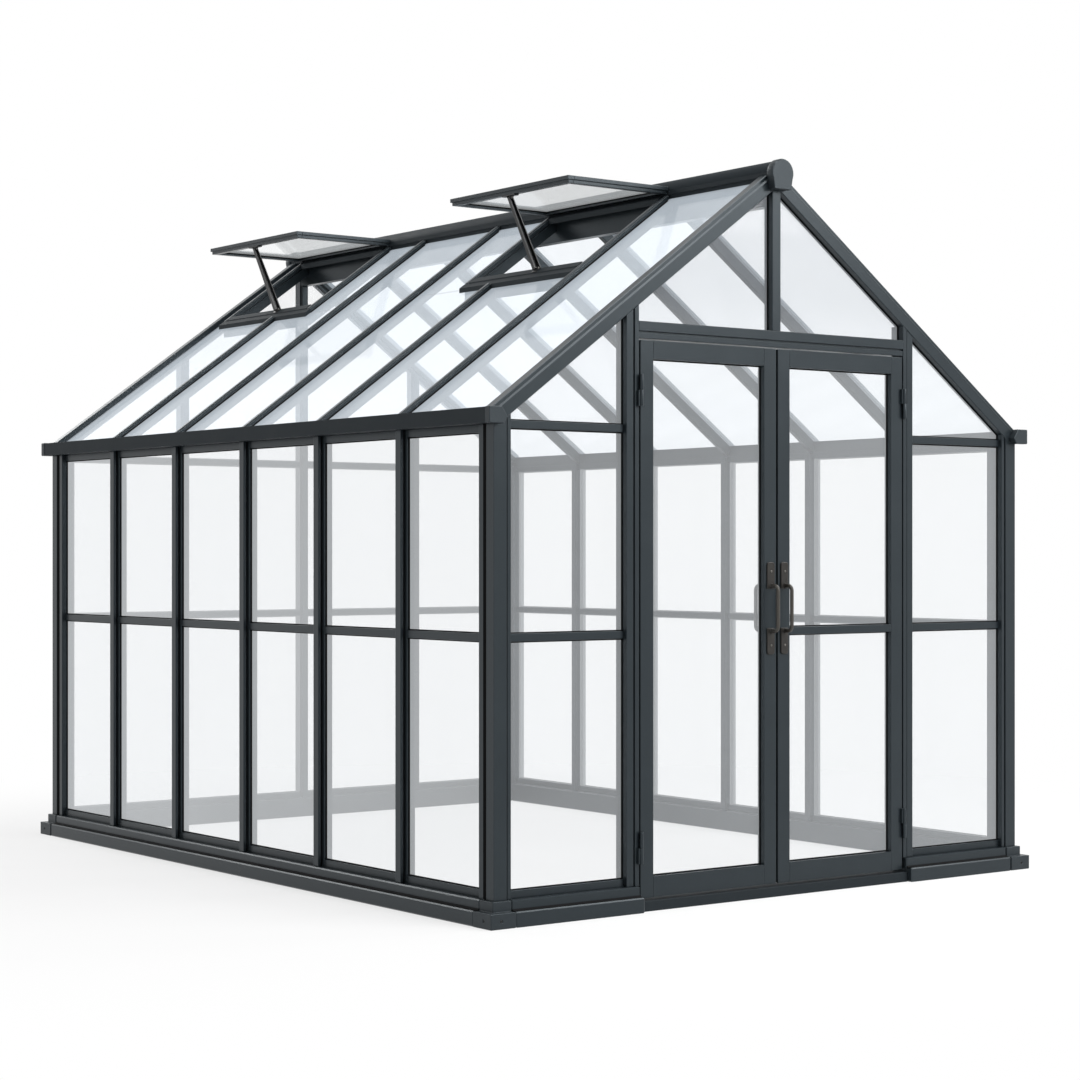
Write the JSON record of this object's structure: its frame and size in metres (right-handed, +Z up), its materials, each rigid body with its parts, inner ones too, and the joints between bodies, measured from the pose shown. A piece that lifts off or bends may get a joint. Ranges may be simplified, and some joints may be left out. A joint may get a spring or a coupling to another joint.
{
  "type": "glass greenhouse",
  "caption": "Glazed gable-roofed garden greenhouse with a dark grey metal frame, hinged double doors and roof vents standing open.",
  "frame": {"origin": "on the floor under the middle of the base", "axes": "+X across the gable, the doors face -Y, +Y along the ridge to the back, +Z up"},
  "size_m": [2.65, 3.487, 2.7106],
  "materials": {
    "grey_frame": "satin",
    "bronze_fittings": "satin",
    "clear_glass": "polished"
  },
  "bodies": {
    "house": {"side_base_rails": "grey_frame", "end_base_rails": "grey_frame", "door_threshold": "grey_frame", "base_corner_castings": "grey_frame", "corner_posts": "grey_frame", "side_wall_bars": "grey_frame", "back_wall_bars": "grey_frame", "side_wall_rails": "grey_frame", "back_wall_rails": "grey_frame", "front_wall_rails": "grey_frame", "side_wall_glass": "clear_glass", "back_wall_glass": "clear_glass", "front_wall_glass": "clear_glass", "eave_gutters": "grey_frame", "eave_beams": "grey_frame", "eave_corner_brackets": "grey_frame", "gable_rafters": "grey_frame", "left_roof_bars": "grey_frame", "right_roof_bars": "grey_frame", "ridge_beam": "grey_frame", "ridge_capping": "grey_frame", "ridge_end_caps": "grey_frame", "left_roof_glass": "clear_glass", "right_roof_glass": "clear_glass", "door_posts": "grey_frame", "door_head": "grey_frame", "front_king_post": "grey_frame", "frame_hinge_knuckles": "bronze_fittings", "vent_curb_rails": "grey_frame", "vent_sash_stiles": "grey_frame", "vent_sash_rails": "grey_frame", "vent_glass": "clear_glass", "vent_stays": "bronze_fittings"},
    "left_door": {"left_door_stiles": "grey_frame", "left_door_rails": "grey_frame", "left_door_glass": "clear_glass", "left_door_handles": "bronze_fittings", "left_door_hinges": "bronze_fittings"},
    "right_door": {"right_door_stiles": "grey_frame", "right_door_rails": "grey_frame", "right_door_glass": "clear_glass", "right_door_handles": "bronze_fittings", "right_door_hinges": "bronze_fittings"}
  },
  "joints": [
    {"name": "left_door_swing", "type": "hinge", "parent": "house", "child": "left_door", "pos_m": [-0.65155, -1.7085, 1], "axis": [0, 0, -1], "range_deg": [0, 100]},
    {"name": "right_door_swing", "type": "hinge", "parent": "house", "child": "right_door", "pos_m": [0.65155, -1.7085, 1], "axis": [0, 0, 1], "range_deg": [0, 100]}
  ]
}
